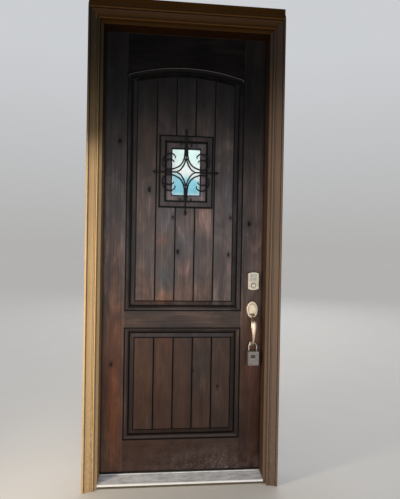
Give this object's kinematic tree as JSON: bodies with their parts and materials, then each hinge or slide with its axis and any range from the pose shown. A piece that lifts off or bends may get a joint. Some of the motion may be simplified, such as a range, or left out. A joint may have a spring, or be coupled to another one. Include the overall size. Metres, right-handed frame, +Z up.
{
  "type": "arched plank panel entrance door with frame",
  "caption": "Single-leaf plank-panel entrance door in its frame, with a grilled speakeasy window, keypad deadbolt, handle set and a hanging key lock box.",
  "frame": {"origin": "middle of the opening on the underside of the sill, in the plane of the leaf's outside face", "axes": "+X to the lock side seen from outside, +Y into the house, +Z up"},
  "size_m": [1.0486, 0.2231, 2.6],
  "materials": {
    "black_plastic": "matte",
    "bright_steel": "satin",
    "foam": "matte",
    "hinge_bronze": "satin",
    "key_rubber": "matte",
    "mill_aluminium": "satin",
    "obscure_glass": "textured",
    "painted_wood": "matte",
    "satin_nickel": "satin",
    "stained_board": "satin",
    "stained_wood": "satin",
    "treated_wood": "matte",
    "wrought_iron": "matte",
    "zinc_cast": "satin"
  },
  "bodies": {
    "frame": {"jamb_hinge_side": "painted_wood", "jamb_strike_side": "painted_wood", "jamb_head": "painted_wood", "brickmould_hinge_side": "painted_wood", "brickmould_strike_side": "painted_wood", "brickmould_head": "painted_wood", "head_filler_board": "painted_wood", "sill_substrate": "treated_wood", "threshold_tread": "mill_aluminium", "threshold_cap": "black_plastic", "weatherstrips": "foam", "hinge_jamb_leaves": "hinge_bronze", "hinge_pins": "hinge_bronze", "frame_screws": "hinge_bronze", "latch_strike_plate": "satin_nickel", "deadbolt_strike_plate": "satin_nickel"},
    "leaf": {"stile_hinge": "stained_wood", "stile_lock": "stained_wood", "rail_top": "stained_wood", "rail_lock": "stained_wood", "rail_bottom": "stained_wood", "panel_upper": "stained_board", "panel_lower": "stained_board", "door_sweep": "black_plastic", "hinge_door_leaves": "hinge_bronze", "leaf_screws": "hinge_bronze", "speakeasy_casing_outside": "stained_wood", "speakeasy_frame": "stained_wood", "speakeasy_grille": "wrought_iron", "grille_screws": "wrought_iron", "sash_hinge_fixed_leaves": "hinge_bronze", "deadbolt_keypad_housing": "satin_nickel", "deadbolt_inside_housing": "satin_nickel", "handle_rose": "satin_nickel", "handle_grip": "satin_nickel", "knob_rose_inside": "satin_nickel", "edge_faceplates": "satin_nickel", "lockbox_body": "zinc_cast", "lockbox_shackle": "bright_steel"},
    "sash": {"speakeasy_sash": "stained_wood", "speakeasy_glass": "obscure_glass", "speakeasy_glazing_bead": "stained_wood", "sash_knob": "wrought_iron", "sash_hinge_moving_leaves": "hinge_bronze"},
    "key_1": {"keypad_key_1": "key_rubber"},
    "key_2": {"keypad_key_2": "key_rubber"},
    "key_3": {"keypad_key_3": "key_rubber"},
    "key_4": {"keypad_key_4": "key_rubber"},
    "key_5": {"keypad_key_5": "key_rubber"},
    "plug": {"key_plug": "satin_nickel"},
    "thumbturn": {"deadbolt_thumbturn": "satin_nickel"},
    "deadbolt": {"deadbolt_bolt": "bright_steel"},
    "thumbpiece": {"thumbpiece": "satin_nickel"},
    "latch": {"latch_bolt": "bright_steel"},
    "knob": {"inside_knob": "satin_nickel"},
    "box_door": {"lockbox_door": "zinc_cast"},
    "wheel_1": {"lockbox_wheel_1": "black_plastic"},
    "wheel_2": {"lockbox_wheel_2": "black_plastic"},
    "wheel_3": {"lockbox_wheel_3": "black_plastic"},
    "wheel_4": {"lockbox_wheel_4": "black_plastic"}
  },
  "joints": [
    {"name": "leaf_swing", "type": "hinge", "parent": "frame", "child": "leaf", "pos_m": [-0.4587, 0.051, 1.3], "axis": [0, 0, 1], "range_deg": [0, 110]},
    {"name": "sash_swing", "type": "hinge", "parent": "leaf", "child": "sash", "pos_m": [-0.1185, 0.0445, 1.7165], "axis": [0, 0, 1], "range_deg": [0, 100]},
    {"name": "key_1_press", "type": "slide", "parent": "leaf", "child": "key_1", "axis": [0, 1, 0], "range_m": [0, 0.001], "stiffness_N_per_m": 800},
    {"name": "key_2_press", "type": "slide", "parent": "leaf", "child": "key_2", "axis": [0, 1, 0], "range_m": [0, 0.001], "stiffness_N_per_m": 800},
    {"name": "key_3_press", "type": "slide", "parent": "leaf", "child": "key_3", "axis": [0, 1, 0], "range_m": [0, 0.001], "stiffness_N_per_m": 800},
    {"name": "key_4_press", "type": "slide", "parent": "leaf", "child": "key_4", "axis": [0, 1, 0], "range_m": [0, 0.001], "stiffness_N_per_m": 800},
    {"name": "key_5_press", "type": "slide", "parent": "leaf", "child": "key_5", "axis": [0, 1, 0], "range_m": [0, 0.001], "stiffness_N_per_m": 800},
    {"name": "thumbturn_turn", "type": "hinge", "parent": "leaf", "child": "thumbturn", "pos_m": [0.3915, 0.07, 1.0855], "axis": [0, 1, 0], "range_deg": [0, 90]},
    {"name": "key_plug_turn", "type": "hinge", "parent": "leaf", "child": "plug", "pos_m": [0.3915, -0.02, 1.0855], "axis": [0, 1, 0], "range_deg": [0, 90]},
    {"name": "deadbolt_throw", "type": "slide", "parent": "leaf", "child": "deadbolt", "axis": [1, 0, 0], "range_m": [0, 0.0254]},
    {"name": "thumbpiece_lift", "type": "hinge", "parent": "leaf", "child": "thumbpiece", "pos_m": [0.3915, -0.0034, 0.921], "axis": [1, 0, 0], "range_deg": [-14, 0]},
    {"name": "latch_throw", "type": "slide", "parent": "leaf", "child": "latch", "axis": [1, 0, 0], "range_m": [0, 0.012]},
    {"name": "inside_knob_turn", "type": "hinge", "parent": "leaf", "child": "knob", "pos_m": [0.3915, 0.07, 0.946], "axis": [0, 1, 0], "range_deg": [0, 56]},
    {"name": "lockbox_door_open", "type": "hinge", "parent": "leaf", "child": "box_door", "pos_m": [0.394, -0.0455, 0.643], "axis": [1, 0, 0], "range_deg": [0, 95]},
    {"name": "wheel_1_spin", "type": "hinge", "parent": "box_door", "child": "wheel_1", "pos_m": [0.3801, -0.045, 0.693], "axis": [1, 0, 0], "continuous": true},
    {"name": "wheel_2_spin", "type": "hinge", "parent": "box_door", "child": "wheel_2", "pos_m": [0.3867, -0.045, 0.693], "axis": [1, 0, 0], "continuous": true},
    {"name": "wheel_3_spin", "type": "hinge", "parent": "box_door", "child": "wheel_3", "pos_m": [0.3933, -0.045, 0.693], "axis": [1, 0, 0], "continuous": true},
    {"name": "wheel_4_spin", "type": "hinge", "parent": "box_door", "child": "wheel_4", "pos_m": [0.3999, -0.045, 0.693], "axis": [1, 0, 0], "continuous": true}
  ],
  "couplings": [
    {"joint": "thumbturn_turn", "follows": "deadbolt_throw", "rad_per_m": 61.842},
    {"joint": "key_plug_turn", "follows": "deadbolt_throw", "rad_per_m": 61.842},
    {"joint": "latch_throw", "follows": "inside_knob_turn", "m_per_rad": 0.012277},
    {"joint": "thumbpiece_lift", "follows": "inside_knob_turn", "ratio": -0.25}
  ]
}
